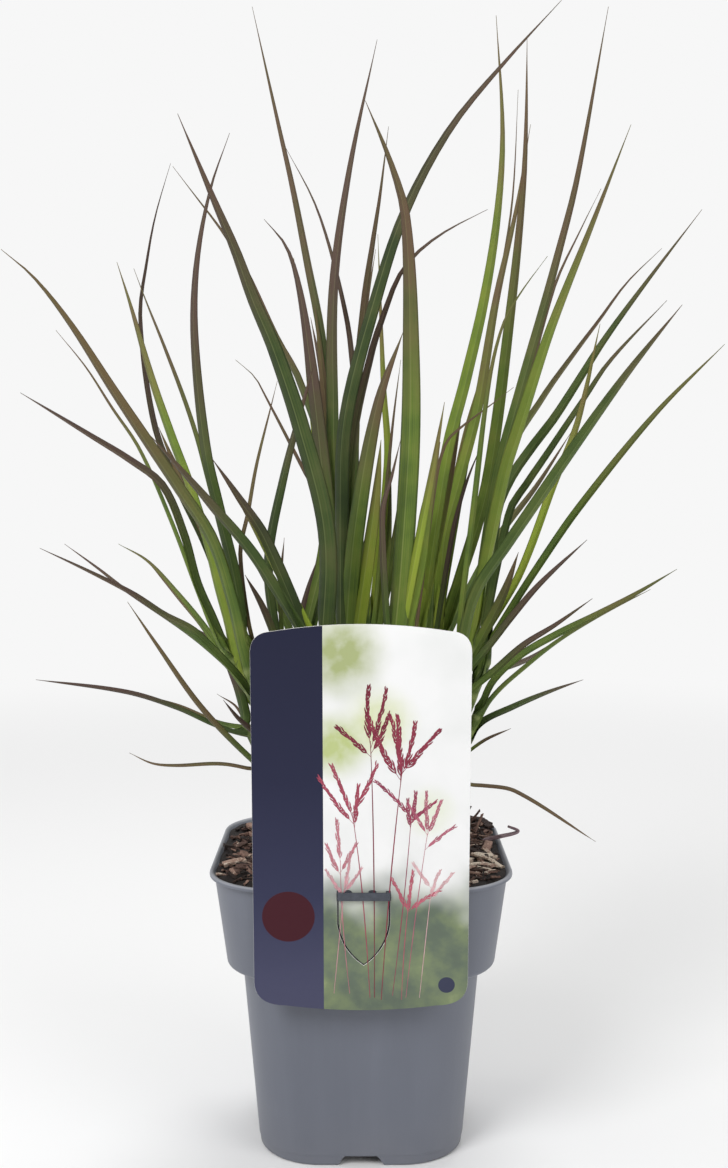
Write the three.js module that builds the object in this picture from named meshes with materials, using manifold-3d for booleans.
// Potted big bluestem grass: a square nursery pot, its potting mix with bark chips,
// a hooked plant label and twenty leafy shoots. Millimetres, +Z up, origin on the floor
// under the middle of the pot, -Y towards the viewer.

import * as THREE from 'three';
import { mergeVertices } from 'three/addons/utils/BufferGeometryUtils.js';
import Module from 'manifold-3d';

const wasm = await Module();
wasm.setup();

// Driving dimensions of the pot
const POT_HEIGHT = 137;
const RIM_HALF = 70;
const RIM_EDGE = 1.8;
const RIM_DEPTH = 2;
const COLLAR_TOP_HALF = 68.2;
const COLLAR_BOTTOM_HALF = 62.4;
const COLLAR_HEIGHT = 46;
const COLLAR_ROUND = 3;
const BODY_TOP_HALF = 56;
const BASE_HALF = 48.5;
const BASE_ROUND = 1.2;
const WALL = 1.6;
const FLOOR_THICK = 2.4;
const CORNER_AT_RIM = 33;
const CORNER_AT_BASE = 29;
const CORNER_STEPS = 5;
const DRAIN_WIDTH = 21.5;
const DRAIN_SLOPE = 3;
const DRAIN_HEIGHT = 4.8;
const DRAIN_REACH = 15;

// Bridge on the front of the rim, with two posts: the label's tongue hangs behind it
const STRAP_WIDTH = 23.2;
const STRAP_HEIGHT = 3.6;
const STRAP_TOP = POT_HEIGHT - 0.9;
const STRAP_ACROSS = 1.2;
const STRAP_THICK = 1.2;
const STRAP_POST = 1.5;

// Label card
const CARD_WIDTH = 95;
const CARD_HEIGHT = 176;
const CARD_THICK = 0.7;
const CARD_LEAN = 5 * Math.PI / 180;
const CARD_FOOT = POT_HEIGHT - 56;
const CARD_TOP_RISE = 4.5;
const CARD_TOP_CORNER = 9;
const CARD_FOOT_CORNER = 14;
const TONGUE_WIDTH = 22;
const TONGUE_LENGTH = 34;
const TONGUE_CUT = 0.7;

// Potting mix and the gap that seats keep
const SEAT_GAP = 0.3;
const MIX_LEVEL = POT_HEIGHT - 1.2;
const CHIP_COUNT = 30;
const CHIP_LONG = [6, 14];
const CHIP_FIELD = 63;
const HOLE_DEPTH = 12;

// Eye of the front elevation in which the blades are drawn, and the height of its zero line
const EYE = new THREE.Vector3(0, -670, POT_HEIGHT + 180);
const SHEET_FLOOR = POT_HEIGHT - 135;

// Leaf sheaths and blades
const SHEATH_ROOT = 3.3;
const SHEATH_NECK = 2.1;
const SHEATH_FLAT = 0.72;
const SHEATH_SIDES = 6;
const SHEATH_STEPS = 5;
const BLADE_STEPS = 9;
const BLADE_CORE = 0.9;
const BLADE_FOLD = 0.13;
const BLADE_SINK = 5;
// A blade whose tip is drawn lower than this keeps its width nearly to the tip
const LONG_BLADE = 420;

// Each shoot: foot [x, y] on the floor plan, neck [across, up, depth] where its sheath ends,
// and its blades. A blade is [leaves, turn, width, tip depth, across, up, across, up, ...]:
// the part of the sheath where it leaves, its turn from facing the viewer in degrees, its
// width, how far back its tip lies, and the points it passes in the front elevation, tip last.
const SHOOTS = [
  {
    name: 'shoot_01_left_front', foot: [-27, -18], neck: [-55, 222, -34],
    blades: [
      [1, 48, 8, -75, -63.4, 255, -73, 286, -88, 310, -101.3, 330.2,
        -119, 357.3, -139, 389, -156, 411, -171, 424],
      [0.85, -45, 4.8, -60, -80, 240.5, -96, 249.5, -110, 259, -128, 268.6, -155, 282],
      [0.42, 40, 3.8, -48, -60, 184.5, -79.5, 206, -99, 234.5, -113, 256],
      [0.62, 35, 3.2, -46, -59, 198, -67, 208],
    ],
  },
  {
    name: 'shoot_02_left_low', foot: [-36, 1], neck: [-56, 196, 6],
    blades: [
      [0.95, 50, 3.6, 8, -68, 194, -90, 204, -114, 211.6, -158, 218],
      [0.7, 40, 2.4, 25, -67, 176.8, -91, 176, -102, 177, -113, 182],
      [1, 30, 6, -4, -60, 214, -67, 230],
      [0.8, 20, 1.8, 14, -60, 204, -70, 211],
    ],
  },
  {
    name: 'shoot_03_left', foot: [-23, -5], neck: [-66, 232, -7],
    blades: [
      [1, 45, 3.3, -12, -76, 252, -91.7, 294.5, -106.7, 329.4, -119.6, 349.2, -131.6, 368.4, -145.5, 386],
      [0.96, -48, 6.2, -35, -79, 262, -86, 288, -96, 311.7, -111, 323.6, -130, 335.6, -163, 356.4],
      [0.9, 42, 5.8, 20, -68.4, 258, -74.6, 285, -83, 312.5, -91, 334.5, -100.4, 363, -110, 398, -116, 418],
      [0.85, 46, 4.2, 25, -82, 239, -115, 262, -126, 271, -143, 284],
      [0.92, 40, 3.1, 45, -75, 244, -89, 261, -103, 276, -117, 284],
      [0.93, 33, 4.6, 32, -68, 270, -78, 302, -87, 322],
    ],
  },
  {
    name: 'shoot_04_left_back', foot: [-24, 15], neck: [-57, 236, 26],
    blades: [
      [0.95, -45, 5.4, 85, -66, 257, -76.6, 285, -90, 314, -100, 343,
        -105.6, 392, -101.7, 420, -97.5, 440, -90, 464],
      [0.95, 40, 3.2, 50, -77, 328, -84, 351, -94.7, 380, -101.4, 397, -108, 415],
      [1, 25, 6.2, 8, -60, 262, -68.6, 300, -75, 330, -79.8, 383, -78.4, 417, -71.4, 452, -62, 478],
      [0.9, 30, 2.6, 60, -58, 278, -54, 300, -50, 322, -43, 350, -40, 362],
      [0.95, 20, 5.8, 40, -66, 262, -73.5, 286, -85, 312, -97, 340],
    ],
  },
  {
    name: 'shoot_05_front_left', foot: [-11, -26], neck: [-18, 232, -37],
    blades: [
      [1, 25, 9.4, -80, -17.6, 290, -29.3, 339, -41.8, 377, -51.8, 400.6,
        -60.3, 424, -70, 447, -79.7, 470.6, -86.5, 487],
      [0.9, 42, 7.4, -85, -51, 276, -73, 303, -101, 336],
      [0.85, -35, 7, -66, -46.6, 286.4, -59.8, 307.2, -71.5, 325],
      [0.95, 35, 5.4, -56, -50.2, 290, -65.2, 317],
    ],
  },
  {
    name: 'shoot_06_inner_left', foot: [-14, 5], neck: [-40, 232, 2],
    blades: [
      [1, 30, 5.6, -20, -45, 262, -44.6, 283, -38.2, 314, -32.3, 337, -22, 372],
      [0.9, 20, 4, -22, -47, 252, -56, 269],
      [0.95, 10, 2.4, 12, -39, 262, -37, 287],
      [0.88, 20, 3.4, -12, -30, 246, -26, 262, -21, 277],
    ],
  },
  {
    name: 'shoot_07_back_left', foot: [-6, 20], neck: [-12, 240, 28],
    blades: [
      [1, 40, 6.8, 75, -11, 305, -18, 381, -25, 418, -32, 453, -38, 479, -51, 536],
      [0.9, 20, 4.2, 52, -2, 340, -5, 381, -8.5, 400, -14.5, 424, -22.5, 447, -36, 472],
      [0.95, 30, 7.6, 38, -13, 343, -12.6, 406, -5.2, 461, 7.6, 521],
      [0.9, 20, 9.2, 25, -19, 323, -25.5, 380, -30.5, 410, -36, 426, -46, 438],
      [0.97, 42, 6.2, 45, -14, 310, -30, 362, -40.6, 382, -55, 414, -65.6, 431.6, -79, 449.4, -89, 462.6],
      [0.8, 30, 2.8, 12, -16, 296, -28, 320, -46, 355, -51, 364, -60, 372],
      [0.93, 15, 6.4, 46, -14, 300, -16, 340, -19, 372, -22, 398],
      [0.9, -12, 8, 62, -16, 300, -22, 345, -26, 380, -32, 420],
    ],
  },
  {
    name: 'shoot_08_middle', foot: [-4, -11], neck: [-9, 228, -13],
    blades: [
      [1, 25, 7.7, -45, -10, 300, -7.8, 345, 6.3, 400, 21, 443, 41.8, 480.3, 66.9, 510.2, 94, 539],
      [0.95, 15, 8.8, -46, -3, 290, 8, 352, 20, 385],
      [0.9, 25, 5.2, -22, -4, 330, 5.4, 376, 12, 396, 18, 411, 26, 421.6, 40, 432.2, 60, 442.6],
      [0.82, 15, 7.6, -31, 3.4, 280, 6.8, 305, 9.6, 334],
    ],
  },
  {
    name: 'shoot_09_front', foot: [8, -27], neck: [16, 226, -38],
    blades: [
      [1, 18, 9.9, -95, 22.6, 323, 23.5, 370, 21, 438, 14, 464, 2, 493],
      [0.9, 20, 3.6, -60, 10, 298, 15, 318, 19, 334],
      [0.95, 20, 4.4, -62, 28.6, 290, 34.4, 320, 40, 352],
      [0.9, 15, 7, -48, 27, 270, 31.6, 300, 38, 333],
    ],
  },
  {
    name: 'shoot_10_back_middle', foot: [9, 18], neck: [4, 240, 31],
    blades: [
      [1, 30, 7.4, 60, -3, 320, 2, 398, 6.2, 429, 9.2, 449, 13, 481],
      [0.95, 25, 4.6, 46, 13, 323, 11, 359, 8, 431],
      [0.9, 20, 2.4, 34, 15, 338, 19, 372],
      [0.85, 15, 6.4, 42, 12, 280, 13, 310, 13, 345],
    ],
  },
  {
    name: 'shoot_11_inner_right', foot: [11, 3], neck: [28, 234, 6],
    blades: [
      [1, 25, 6.7, 20, 41.8, 328, 50.3, 362, 58.9, 400, 64.9, 440, 67, 478, 63.4, 532],
      [0.95, 20, 3.4, -10, 28, 291, 37, 329],
      [0.85, 15, 2, -24, 36, 315, 41, 333, 48, 340, 64, 352, 73, 359],
      [0.9, 15, 6.6, 16, 35, 280, 41, 310, 46, 338, 49, 356],
    ],
  },
  {
    name: 'shoot_12_back_right', foot: [22, 17], neck: [38, 236, 31],
    blades: [
      [1, 28, 6.8, 75, 40, 284, 47.6, 315, 56.4, 350, 64.6, 400, 73.6, 442, 80, 482],
      [0.95, 32, 7.2, 45, 53.5, 283, 62.2, 318, 72, 398, 77, 453, 78, 480, 78, 522],
      [0.9, 20, 2.8, 95, 52, 330, 68, 420, 72, 450, 74, 498],
      [0.93, 20, 5.4, 58, 44, 300, 50, 335, 57, 364],
      [0.85, 20, 3, 22, 44.5, 290, 51, 314, 58, 332],
    ],
  },
  {
    name: 'shoot_13_front_right', foot: [25, -21], neck: [47, 226, -32],
    blades: [
      [1, -40, 6.8, -62, 56.4, 260, 71.4, 283.6, 84, 302.4, 102.4, 329.6, 128, 366, 153, 398],
      [0.85, 35, 4.4, -72, 63, 235, 73, 248, 86.4, 264, 109, 286],
      [0.97, 40, 3.6, -55, 54.4, 300, 61.4, 361, 67.6, 388, 75.4, 402.6, 88.6, 420.8],
      [0.78, 42, 4.8, -52, 64, 221, 79, 234.4, 95, 244.8, 112, 257.6],
    ],
  },
  {
    name: 'shoot_14_right', foot: [24, -5], neck: [54, 232, -7],
    blades: [
      [1, 30, 5.9, 5, 66, 316, 76.2, 356, 87.2, 396, 93, 418, 102.3, 456, 116, 536],
      [0.96, -35, 7.4, -32, 69.6, 318, 75.6, 338, 88, 378, 94.4, 396, 110, 436, 127.4, 482],
      [0.92, 40, 4.8, -25, 74, 263, 81.8, 281, 92, 310, 104, 342, 114, 389],
      [0.9, 20, 3.6, 38, 72.4, 330, 91.6, 405, 104.6, 434, 113.6, 452.2],
      [0.88, 30, 5.6, -22, 62, 245, 70, 262, 76, 280],
    ],
  },
  {
    name: 'shoot_15_right_back', foot: [35, 7], neck: [61, 226, 20],
    blades: [
      [1, 42, 6.6, 30, 66, 298, 72.4, 315, 82, 329.4, 93, 344,
        103.2, 360, 115.6, 380, 132.6, 404, 161.6, 442.6],
      [0.95, -42, 6.2, 62, 70.6, 323.6, 87.8, 354.4, 100.2, 372.2,
        113.7, 390.5, 126.7, 408.4, 142.8, 424.4],
      [0.9, 38, 5.4, 14, 72, 299, 80.4, 313, 89.2, 326, 108, 354.6, 119, 371, 145.6, 400],
      [0.85, 42, 4.9, -10, 60, 229, 72, 250.4, 87, 274.4, 105.4, 301.4, 141, 346, 173.6, 379.4],
    ],
  },
  {
    name: 'shoot_16_right_low', foot: [37, -9], neck: [56, 200, -14],
    blades: [
      [1, 45, 4.8, -32, 65, 217, 78, 229.6, 96, 240.2, 114, 249.2, 133, 259.6, 152.6, 271.8],
      [0.92, -45, 3.5, 12, 66, 211, 80, 224, 96, 236.8, 115, 248.6, 140, 262],
      [0.85, 45, 5, -6, 60, 197, 74, 204, 90, 211, 108, 218],
      [0.6, 30, 2.2, -12, 61, 166, 76, 163, 115, 138],
      [0.75, 20, 1.8, -16, 60, 188, 73, 194],
    ],
  },
  {
    name: 'shoot_17_rear_left', foot: [-15, 31], neck: [-30, 232, 50],
    blades: [
      [1, 20, 6, 128, -18.4, 278, -17.6, 300, -29, 348, -53, 412],
      [0.95, -30, 5, 150, -50, 274, -73, 302, -92, 326],
      [0.9, 25, 6.2, 146, -15, 300, -20, 345, -26, 386],
      [0.8, 40, 4, 118, -78, 241, -112, 259.5],
    ],
  },
  {
    name: 'shoot_18_rear', foot: [4, 34], neck: [4, 236, 56],
    blades: [
      [1, 15, 6, 120, -4, 330, 2, 392, 7, 424],
      [0.95, -20, 6.2, 168, -12, 320, -19, 366, -24, 392],
      [0.9, 20, 6.4, 172, 20, 300, 24, 360, 23, 410],
      [0.8, 10, 5.6, 178, -4, 268, -8, 318],
    ],
  },
  {
    name: 'shoot_19_rear_right', foot: [22, 30], neck: [34, 232, 49],
    blades: [
      [1, -20, 6.2, 120, 53, 284, 61.6, 318, 68.4, 368, 74, 412],
      [0.95, 30, 5.8, 160, 40, 320, 50, 366, 58, 400],
      [0.9, -35, 5.6, 140, 64, 285, 84, 312, 101, 338],
      [0.8, 40, 5, 112, 66, 222, 84, 229, 108, 246],
    ],
  },
  {
    name: 'shoot_20_rear_low', foot: [-36, 17], neck: [-52, 206, 34],
    blades: [
      [1, 40, 5, 92, -75, 243, -89, 259.5, -101, 273],
      [0.85, -40, 3.4, 70, -68, 196, -90, 205, -120, 213],
    ],
  },
];

// The same draw every time from one seed
function seededDraws(seed) {
  let state = seed;
  return () => {
    state = (state * 16807) % 2147483647;
    return state / 2147483647;
  };
}

// Solid of a closed geometry, its shared corners merged
function solidOf(geometry) {
  const bare = geometry.clone();
  bare.deleteAttribute('normal');
  bare.deleteAttribute('uv');
  const merged = mergeVertices(bare, 1e-4);
  return new wasm.Manifold(new wasm.Mesh({
    numProp: 3,
    vertProperties: new Float32Array(merged.attributes.position.array),
    triVerts: new Uint32Array(merged.index.array),
  }));
}

function geometryOf(solid) {
  const mesh = solid.getMesh();
  const corners = new Float32Array(mesh.numVert * 3);
  for (let i = 0; i < mesh.numVert; i += 1) {
    for (let axis = 0; axis < 3; axis += 1) {
      corners[3 * i + axis] = mesh.vertProperties[mesh.numProp * i + axis];
    }
  }
  const geometry = new THREE.BufferGeometry();
  geometry.setAttribute('position', new THREE.BufferAttribute(corners, 3));
  geometry.setIndex(new THREE.BufferAttribute(new Uint32Array(mesh.triVerts), 1));
  geometry.computeVertexNormals();
  return geometry;
}

function joined(solids) {
  return solids.slice(1).reduce((sum, next) => sum.add(next), solids[0]);
}

// Closed skin from rings of equal length, with a single point at either end
function skin(rings, firstPole, lastPole) {
  const count = rings[0].length;
  const corners = rings.flat();
  const faces = [];
  for (let row = 0; row + 1 < rings.length; row += 1) {
    for (let i = 0; i < count; i += 1) {
      const next = (i + 1) % count;
      const a = row * count + i;
      const b = row * count + next;
      const c = a + count;
      const d = b + count;
      faces.push(a, b, d, a, d, c);
    }
  }
  const first = corners.push(firstPole) - 1;
  const last = corners.push(lastPole) - 1;
  const top = (rings.length - 1) * count;
  for (let i = 0; i < count; i += 1) {
    const next = (i + 1) % count;
    faces.push(first, next, i, last, top + i, top + next);
  }
  return new THREE.BufferGeometry().setFromPoints(corners).setIndex(faces);
}

// Square with round corners, anticlockwise seen from above
function roundedSquare(half, corner, z) {
  const ring = [];
  for (let quarter = 0; quarter < 4; quarter += 1) {
    const start = quarter * Math.PI / 2;
    const middle = new THREE.Vector2(half - corner, half - corner);
    middle.rotateAround(new THREE.Vector2(), start);
    for (let step = 0; step <= CORNER_STEPS; step += 1) {
      const angle = start + step / CORNER_STEPS * Math.PI / 2;
      ring.push(new THREE.Vector3(
        middle.x + corner * Math.cos(angle),
        middle.y + corner * Math.sin(angle),
        z,
      ));
    }
  }
  return ring;
}

// Corner radius of the pot's plan at a height
function cornerAt(z) {
  return THREE.MathUtils.lerp(CORNER_AT_BASE, CORNER_AT_RIM, z / POT_HEIGHT);
}

function potRing([z, half]) {
  return roundedSquare(half, cornerAt(z), z);
}

const STEP_Z = POT_HEIGHT - COLLAR_HEIGHT;

// Half width of the body's outside at a height
function bodyHalf(z) {
  return THREE.MathUtils.mapLinear(z, 0, STEP_Z, BASE_HALF, BODY_TOP_HALF);
}

function collarHalf(z) {
  return THREE.MathUtils.mapLinear(z, STEP_Z, POT_HEIGHT, COLLAR_BOTTOM_HALF, COLLAR_TOP_HALF);
}

// Rows [height, half width] up the inside of the pot, with a gap for what stands in it
function insideRows(gap) {
  const inset = WALL + gap;
  const shelf = STEP_Z + WALL;
  return [
    [FLOOR_THICK + gap, bodyHalf(FLOOR_THICK) - inset],
    [shelf + gap, bodyHalf(shelf) - inset],
    [shelf + gap, COLLAR_BOTTOM_HALF - inset - COLLAR_ROUND],
    [shelf + COLLAR_ROUND + gap, collarHalf(shelf + COLLAR_ROUND) - inset],
  ];
}

// Front face of the label card at a height: it leans against the rim's lip
function cardFront(z) {
  const lipFoot = POT_HEIGHT - RIM_DEPTH;
  return -RIM_HALF - SEAT_GAP - CARD_THICK - (z - lipFoot) * Math.tan(CARD_LEAN);
}

function strapBridge() {
  const middle = STRAP_TOP - STRAP_HEIGHT / 2;
  const back = cardFront(STRAP_TOP) - SEAT_GAP;
  const bar = new THREE.BoxGeometry(STRAP_WIDTH, STRAP_THICK, STRAP_HEIGHT);
  bar.translate(STRAP_ACROSS, back - STRAP_THICK / 2, middle);
  const pieces = [solidOf(bar)];
  const front = back - STRAP_THICK / 2;
  const root = WALL / 2 - collarHalf(middle);
  for (const side of [-1, 1]) {
    const post = new THREE.BoxGeometry(STRAP_POST, root - front, STRAP_HEIGHT);
    const across = STRAP_ACROSS + side * (STRAP_WIDTH - STRAP_POST) / 2;
    post.translate(across, (root + front) / 2, middle);
    pieces.push(solidOf(post));
  }
  return joined(pieces);
}

// Cuts a drain notch with sloping sides through the foot of the front wall and the floor
function drainTool() {
  const half = DRAIN_WIDTH / 2;
  const notch = new THREE.Shape([
    new THREE.Vector2(-half - DRAIN_SLOPE, -DRAIN_HEIGHT),
    new THREE.Vector2(half + DRAIN_SLOPE, -DRAIN_HEIGHT),
    new THREE.Vector2(half, 0),
    new THREE.Vector2(half - DRAIN_SLOPE, DRAIN_HEIGHT),
    new THREE.Vector2(-half + DRAIN_SLOPE, DRAIN_HEIGHT),
    new THREE.Vector2(-half, 0),
  ]);
  const tool = new THREE.ExtrudeGeometry(notch, { depth: 2 * DRAIN_REACH, bevelEnabled: false });
  tool.rotateX(Math.PI / 2);
  tool.translate(0, DRAIN_REACH - BASE_HALF, 0);
  return solidOf(tool);
}

function potSolid() {
  const outside = [
    [0, BASE_HALF - BASE_ROUND],
    [BASE_ROUND, bodyHalf(BASE_ROUND)],
    [STEP_Z, BODY_TOP_HALF],
    [STEP_Z, COLLAR_BOTTOM_HALF - COLLAR_ROUND],
    [STEP_Z + COLLAR_ROUND * 0.3, COLLAR_BOTTOM_HALF - COLLAR_ROUND * 0.3],
    [STEP_Z + COLLAR_ROUND, collarHalf(STEP_Z + COLLAR_ROUND)],
    [POT_HEIGHT - RIM_DEPTH, collarHalf(POT_HEIGHT - RIM_DEPTH)],
    [POT_HEIGHT - RIM_DEPTH, RIM_HALF],
    [POT_HEIGHT, RIM_HALF],
    [POT_HEIGHT, RIM_HALF - RIM_EDGE],
    [POT_HEIGHT - RIM_DEPTH, collarHalf(POT_HEIGHT - RIM_DEPTH) - WALL],
  ];
  const inside = insideRows(0).reverse();
  const rings = [...outside, ...inside].map(potRing);
  const shell = skin(
    rings,
    new THREE.Vector3(0, 0, 0),
    new THREE.Vector3(0, 0, FLOOR_THICK),
  );
  let pot = solidOf(shell);
  for (let side = 0; side < 4; side += 1) {
    pot = pot.subtract(drainTool().rotate([0, 0, 90 * side]));
  }
  return pot.add(strapBridge());
}

// Height of the potting mix: nearly level, heaped at the back right, lower at the front
function mixHeight(x, y) {
  const heap = 7 * Math.exp(-((x - 26) ** 2 + (y - 30) ** 2) / 900);
  const crown = 3 * Math.exp(-(x ** 2 + y ** 2) / 900);
  const grain = 0.8 * Math.sin(0.31 * x + 1.3) * Math.cos(0.27 * y - 0.6);
  return MIX_LEVEL + heap + crown + grain;
}

function mixBody() {
  const rows = insideRows(SEAT_GAP);
  const rings = rows.map(potRing);
  const edgeZ = MIX_LEVEL - 3;
  const edgeHalf = collarHalf(edgeZ) - WALL - SEAT_GAP;
  for (const share of [1, 0.84, 0.62, 0.38, 0.16]) {
    const ring = roundedSquare(edgeHalf * share, cornerAt(edgeZ) * share, 0);
    ring.forEach((p) => {
      p.z = share === 1 ? mixHeight(p.x, p.y) - 1.5 : mixHeight(p.x, p.y);
    });
    rings.push(ring);
  }
  return solidOf(skin(
    rings,
    new THREE.Vector3(0, 0, FLOOR_THICK + SEAT_GAP),
    new THREE.Vector3(0, 0, mixHeight(0, 0)),
  ));
}

// Bark chips lie half sunk in the mix: bricks with drawn corners
function barkChips() {
  const draw = seededDraws(41);
  const chips = [];
  while (chips.length < CHIP_COUNT) {
    const long = THREE.MathUtils.lerp(CHIP_LONG[0], CHIP_LONG[1], draw());
    const angle = draw() * 2 * Math.PI;
    const reach = Math.sqrt(draw()) * (CHIP_FIELD - long / 2);
    const x = reach * Math.cos(angle);
    const y = reach * Math.sin(angle);
    const chip = new THREE.BoxGeometry(long, long * 0.42, 2.6);
    const corners = chip.attributes.position;
    const pinch = [draw(), draw(), draw(), draw()];
    for (let i = 0; i < corners.count; i += 1) {
      const end = (corners.getX(i) > 0 ? 2 : 0) + (corners.getZ(i) > 0 ? 1 : 0);
      corners.setY(i, corners.getY(i) * (0.55 + 0.45 * pinch[end]));
    }
    chip.rotateY((draw() - 0.5) * 0.7);
    chip.rotateX((draw() - 0.5) * 0.7);
    chip.rotateZ(draw() * Math.PI);
    chip.translate(x, y, mixHeight(x, y) + 0.4);
    chips.push(solidOf(chip));
  }
  return chips;
}

// Dry hooked stub of an old stem at the right edge
function dryStub() {
  const path = new THREE.CatmullRomCurve3([
    new THREE.Vector3(52, 13, POT_HEIGHT - 8),
    new THREE.Vector3(62, 12, POT_HEIGHT + 0.6),
    new THREE.Vector3(69, 11.5, POT_HEIGHT + 2.6),
    new THREE.Vector3(76, 11, POT_HEIGHT + 4.3),
    new THREE.Vector3(78, 10.5, POT_HEIGHT + 5.8),
    new THREE.Vector3(73, 10, POT_HEIGHT + 8),
  ]);
  const section = new THREE.Shape(new THREE.EllipseCurve(0, 0, 1, 1).getPoints(6));
  return solidOf(new THREE.ExtrudeGeometry(section, { extrudePath: path, steps: 10 }));
}

// A point of the front elevation, slid along the line of sight to its depth
function seen(across, up, depth) {
  const onSheet = new THREE.Vector3(across, 0, up + SHEET_FLOOR);
  const slide = (depth - EYE.y) / (0 - EYE.y);
  return onSheet.sub(EYE).multiplyScalar(slide).add(EYE);
}

// Smooth run through all the points of a list, by the lengths of its chords. The slope at a
// point is that between its neighbours, and each stretch is a cubic between two of them.
function runThrough(points) {
  const at = [0];
  for (let i = 1; i < points.length; i += 1) {
    at.push(at[i - 1] + points[i].distanceTo(points[i - 1]));
  }
  const last = points.length - 1;
  const slopes = points.map((point, i) => {
    const before = Math.max(0, i - 1);
    const after = Math.min(last, i + 1);
    return points[after].clone().sub(points[before]).divideScalar(at[after] - at[before]);
  });
  return (share) => {
    const way = share * at[last];
    let i = 0;
    while (i < last - 1 && way > at[i + 1]) {
      i += 1;
    }
    const span = at[i + 1] - at[i];
    const t = (way - at[i]) / span;
    return new THREE.Vector2()
      .addScaledVector(points[i], 2 * t ** 3 - 3 * t ** 2 + 1)
      .addScaledVector(slopes[i], (t ** 3 - 2 * t ** 2 + t) * span)
      .addScaledVector(points[i + 1], 3 * t ** 2 - 2 * t ** 3)
      .addScaledVector(slopes[i + 1], (t ** 3 - t ** 2) * span);
  };
}

// Middle line of a sheath: straight up out of the mix, then leaning out to its neck
function sheathLine(shoot) {
  const [x, y] = shoot.foot;
  const neck = seen(...shoot.neck);
  const foot = new THREE.Vector3(x, y, mixHeight(x, y) - HOLE_DEPTH);
  const rise = (neck.z - foot.z) * 0.45;
  return new THREE.QuadraticBezierCurve3(foot, new THREE.Vector3(x, y, foot.z + rise), neck);
}

function sheathSolid(line, extra) {
  const rings = [];
  for (let step = 0; step <= SHEATH_STEPS; step += 1) {
    const share = step / SHEATH_STEPS;
    const centre = line.getPoint(share);
    const along = line.getTangent(share);
    const side = new THREE.Vector3(1, 0, 0).addScaledVector(along, -along.x).normalize();
    const back = new THREE.Vector3().crossVectors(along, side);
    const radius = THREE.MathUtils.lerp(SHEATH_ROOT, SHEATH_NECK, share) + extra;
    const ring = [];
    for (let i = 0; i < SHEATH_SIDES; i += 1) {
      const angle = i / SHEATH_SIDES * 2 * Math.PI;
      ring.push(centre.clone()
        .addScaledVector(side, radius * Math.cos(angle))
        .addScaledVector(back, (radius * SHEATH_FLAT + extra) * Math.sin(angle)));
    }
    rings.push(ring);
  }
  const start = line.getPoint(0).addScaledVector(line.getTangent(0), -extra);
  return solidOf(skin(rings, start, line.getPoint(1)));
}

// Middle line of a blade as a function of the share of its length
function bladeLine(shoot, line, blade) {
  const [leaves, , , tipDepth, ...drawn] = blade;
  const start = line.getPoint(leaves);
  const slide = (start.y - EYE.y) / (0 - EYE.y);
  const onSheet = start.clone().sub(EYE).divideScalar(slide).add(EYE);
  const points = [new THREE.Vector2(onSheet.x, onSheet.z - SHEET_FLOOR)];
  for (let i = 0; i < drawn.length; i += 2) {
    points.push(new THREE.Vector2(drawn[i], drawn[i + 1]));
  }
  const run = runThrough(points);
  return (share) => {
    const place = run(share);
    const depth = THREE.MathUtils.lerp(start.y, tipDepth, Math.max(0, share) ** 1.4);
    return seen(place.x, place.y, depth);
  };
}

// Width of a blade along its length: broadest at its foot, then a long fine tip
function bladeTaper(share, tipUp) {
  const base = 1.12 - 0.12 * Math.min(1, share / 0.3);
  const past = Math.max(0, share - 0.3) / 0.7;
  return base * (1 - past ** (tipUp < LONG_BLADE ? 2.6 : 1.6));
}

function bladeSolid(shoot, line, blade) {
  const [, turn, width] = blade;
  const place = bladeLine(shoot, line, blade);
  const rings = [];
  for (let step = 0; step < BLADE_STEPS; step += 1) {
    const share = step / BLADE_STEPS;
    const centre = place(share);
    const along = place(share + 0.01).sub(place(share - 0.01)).normalize();
    const sight = centre.clone().sub(EYE).normalize();
    const flat = new THREE.Vector3().crossVectors(along, sight).normalize();
    const face = new THREE.Vector3().crossVectors(flat, along);
    const angle = turn * Math.PI / 180;
    const side = flat.clone().multiplyScalar(Math.cos(angle));
    side.addScaledVector(face, Math.sin(angle));
    const up = new THREE.Vector3().crossVectors(side, along);
    const half = width / 2 * bladeTaper(share, blade.at(-1));
    const core = BLADE_CORE / 2 * (1 - 0.35 * share);
    const lift = half * 2 * BLADE_FOLD;
    if (step === 0) {
      centre.addScaledVector(along, -BLADE_SINK);
    }
    rings.push([
      centre.clone().addScaledVector(side, -half).addScaledVector(up, lift),
      centre.clone().addScaledVector(up, -core),
      centre.clone().addScaledVector(side, half).addScaledVector(up, lift),
      centre.clone().addScaledVector(up, core),
    ]);
  }
  return solidOf(bladeSkin(rings, place(1)));
}

// Skin of a blade: both its faces are split from the edges on the same diagonals
function bladeSkin(rings, tip) {
  const corners = rings.flat();
  const faces = [];
  for (let row = 0; row + 1 < rings.length; row += 1) {
    const a = row * 4;
    const b = a + 4;
    for (const [edge, middle, flip] of [[0, 1, true], [2, 1, false], [2, 3, true], [0, 3, false]]) {
      const one = [a + edge, a + middle, b + middle];
      const two = [a + edge, b + middle, b + edge];
      faces.push(...(flip ? one.reverse() : one), ...(flip ? two.reverse() : two));
    }
  }
  const end = corners.push(tip) - 1;
  const last = (rings.length - 1) * 4;
  for (let i = 0; i < 4; i += 1) {
    faces.push(last + (i + 1) % 4, last + i, end);
  }
  faces.push(0, 1, 3, 1, 2, 3);
  return new THREE.BufferGeometry().setFromPoints(corners).setIndex(faces);
}

function shootSolid(shoot) {
  const line = sheathLine(shoot);
  const pieces = [sheathSolid(line, 0)];
  for (const blade of shoot.blades) {
    pieces.push(bladeSolid(shoot, line, blade));
  }
  return joined(pieces);
}

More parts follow.
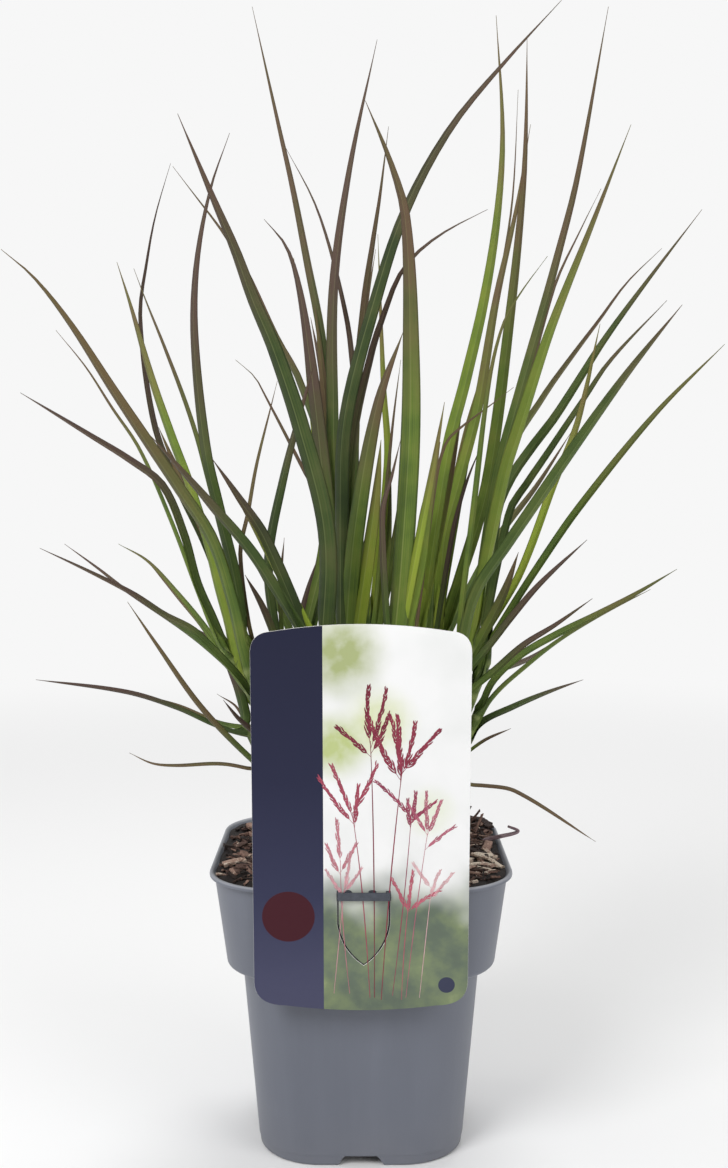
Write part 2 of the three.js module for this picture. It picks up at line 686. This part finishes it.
function pottingMix() {
  const heap = joined([mixBody(), ...barkChips(), dryStub()]);
  const holes = joined(SHOOTS.map((shoot) => sheathSolid(sheathLine(shoot), SEAT_GAP)));
  return heap.subtract(holes);
}

// Front outline of the card in its own plane, foot at zero, its top and foot bowed
function cardOutline() {
  const half = CARD_WIDTH / 2;
  const shape = new THREE.Shape();
  shape.moveTo(-half, CARD_FOOT_CORNER);
  shape.quadraticCurveTo(-half, CARD_TOP_RISE / 2, -half + CARD_FOOT_CORNER, CARD_TOP_RISE / 2);
  shape.quadraticCurveTo(0, -CARD_TOP_RISE / 2, half - CARD_FOOT_CORNER, CARD_TOP_RISE / 2);
  shape.quadraticCurveTo(half, CARD_TOP_RISE / 2, half, CARD_FOOT_CORNER);
  shape.lineTo(half, CARD_HEIGHT - CARD_TOP_RISE - CARD_TOP_CORNER);
  shape.quadraticCurveTo(
    half, CARD_HEIGHT - CARD_TOP_RISE, half - CARD_TOP_CORNER, CARD_HEIGHT - CARD_TOP_RISE + 0.6);
  shape.quadraticCurveTo(0, CARD_HEIGHT + 2.4, -half + CARD_TOP_CORNER, CARD_HEIGHT - CARD_TOP_RISE + 0.6);
  shape.quadraticCurveTo(
    -half, CARD_HEIGHT - CARD_TOP_RISE, -half, CARD_HEIGHT - CARD_TOP_RISE - CARD_TOP_CORNER);
  return shape;
}

// Shield with its point down, the tongue or the slot round it
function shieldOutline(width, length, top) {
  const half = width / 2;
  const shape = new THREE.Shape();
  shape.moveTo(-half, top);
  shape.lineTo(-half, top - length * 0.45);
  shape.quadraticCurveTo(-half * 0.85, top - length * 0.8, 0, top - length);
  shape.quadraticCurveTo(half * 0.85, top - length * 0.8, half, top - length * 0.45);
  shape.lineTo(half, top);
  return shape;
}

// The card, with a cut round its tongue and a window each side for the bridge's posts
function cardGeometry() {
  const slant = 1 / Math.cos(CARD_LEAN);
  const top = (STRAP_TOP - CARD_FOOT + 0.5) * slant;
  const plate = { depth: CARD_THICK, bevelEnabled: false, curveSegments: 8 };
  const through = { depth: 3 * CARD_THICK, bevelEnabled: false, curveSegments: 8 };
  const cutTool = (shape) => solidOf(new THREE.ExtrudeGeometry(shape, through)
    .translate(STRAP_ACROSS, 0, -CARD_THICK));
  const outer = cutTool(shieldOutline(TONGUE_WIDTH + 2 * TONGUE_CUT, TONGUE_LENGTH + TONGUE_CUT, top));
  const tongue = cutTool(shieldOutline(TONGUE_WIDTH, TONGUE_LENGTH, top + 1));
  let card = solidOf(new THREE.ExtrudeGeometry(cardOutline(), plate));
  card = card.subtract(outer.subtract(tongue));
  for (const side of [-1, 1]) {
    const window = new THREE.BoxGeometry(
      STRAP_POST + 2 * SEAT_GAP, STRAP_HEIGHT * slant + 4 * SEAT_GAP, 4 * CARD_THICK);
    const across = STRAP_ACROSS + side * (STRAP_WIDTH - STRAP_POST) / 2;
    window.translate(across, (STRAP_TOP - STRAP_HEIGHT / 2 - CARD_FOOT) * slant, 0);
    card = card.subtract(solidOf(window));
  }
  const geometry = geometryOf(card);
  geometry.translate(0, 0, -CARD_THICK);
  geometry.rotateX(Math.PI / 2 + CARD_LEAN);
  geometry.translate(0, cardFront(CARD_FOOT), CARD_FOOT);
  return geometry;
}

const part = new THREE.Group();

function addPiece(name, geometry, colour, roughness) {
  const material = new THREE.MeshStandardMaterial({ color: colour, roughness, metalness: 0 });
  const mesh = new THREE.Mesh(geometry, material);
  mesh.name = name;
  part.add(mesh);
}

addPiece('pot', geometryOf(potSolid()), 0x6c717a, 0.5);
addPiece('potting_mix', geometryOf(pottingMix()), 0x3d2c22, 0.95);
addPiece('plant_label', cardGeometry(), 0xe8e8e6, 0.35);
SHOOTS.forEach((shoot, i) => {
  const colour = new THREE.Color().setHSL(0.2 + 0.02 * (i % 5), 0.38, 0.26 + 0.02 * (i % 3));
  addPiece(shoot.name, geometryOf(shootSolid(shoot)), colour, 0.55);
});

export default part;
